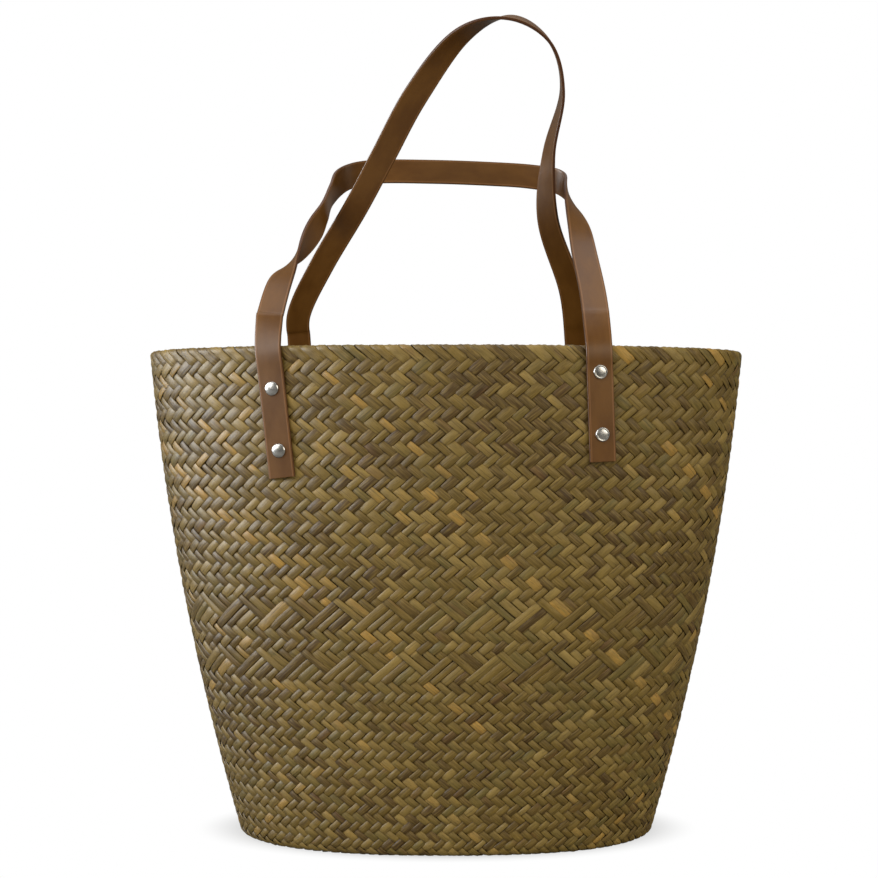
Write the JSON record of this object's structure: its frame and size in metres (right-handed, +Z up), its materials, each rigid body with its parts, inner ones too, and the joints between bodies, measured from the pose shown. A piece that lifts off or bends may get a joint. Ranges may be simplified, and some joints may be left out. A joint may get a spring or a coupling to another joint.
{
  "type": "beach bag",
  "caption": "Deep plaited straw tote with a flared oval body, a folded rim and riveted flat strap handles that bend at the rim.",
  "frame": {"origin": "middle of the base, on the floor", "axes": "+Z up, from the base to the handles; +X across the mouth to the right; the front faces -Y"},
  "size_m": [0.4234, 0.16, 0.574],
  "materials": {
    "sedge_plait": "dry plaited sedge strips, olive and straw coloured, matt with a slight sheen",
    "sedge_rim": "sedge strip ends folded over the rim, matt",
    "strap_leather": "smooth semi-gloss brown imitation leather with a lighter cut edge",
    "patch_leather": "matt brown imitation leather",
    "rivet_nickel": "polished nickel",
    "washer_nickel": "satin nickel"
  },
  "bodies": {
    "bag": {"woven_wall": "sedge_plait", "woven_base": "sedge_plait", "rim_fold": "sedge_rim", "front_left_strap_end": "strap_leather", "front_right_strap_end": "strap_leather", "rear_left_strap_end": "strap_leather", "rear_right_strap_end": "strap_leather", "front_left_patch": "patch_leather", "front_right_patch": "patch_leather", "rear_left_patch": "patch_leather", "rear_right_patch": "patch_leather", "front_left_lower_rivet": "rivet_nickel", "front_left_upper_rivet": "rivet_nickel", "front_right_lower_rivet": "rivet_nickel", "front_right_upper_rivet": "rivet_nickel", "rear_left_lower_rivet": "rivet_nickel", "rear_left_upper_rivet": "rivet_nickel", "rear_right_lower_rivet": "rivet_nickel", "rear_right_upper_rivet": "rivet_nickel", "front_left_lower_washer": "washer_nickel", "front_left_upper_washer": "washer_nickel", "front_right_lower_washer": "washer_nickel", "front_right_upper_washer": "washer_nickel", "rear_left_lower_washer": "washer_nickel", "rear_left_upper_washer": "washer_nickel", "rear_right_lower_washer": "washer_nickel", "rear_right_upper_washer": "washer_nickel"},
    "front_handle": {"front_handle": "strap_leather"},
    "rear_handle": {"rear_handle": "strap_leather"}
  },
  "joints": [
    {"name": "front_handle_swing", "type": "hinge", "parent": "bag", "child": "front_handle", "pos_m": [-0.009, -0.07245, 0.349], "axis": [1, 0, 0], "range_deg": [-2, 4]},
    {"name": "rear_handle_swing", "type": "hinge", "parent": "bag", "child": "rear_handle", "pos_m": [-0.005, 0.07253, 0.349], "axis": [1, 0, 0], "range_deg": [-3, 60]}
  ]
}
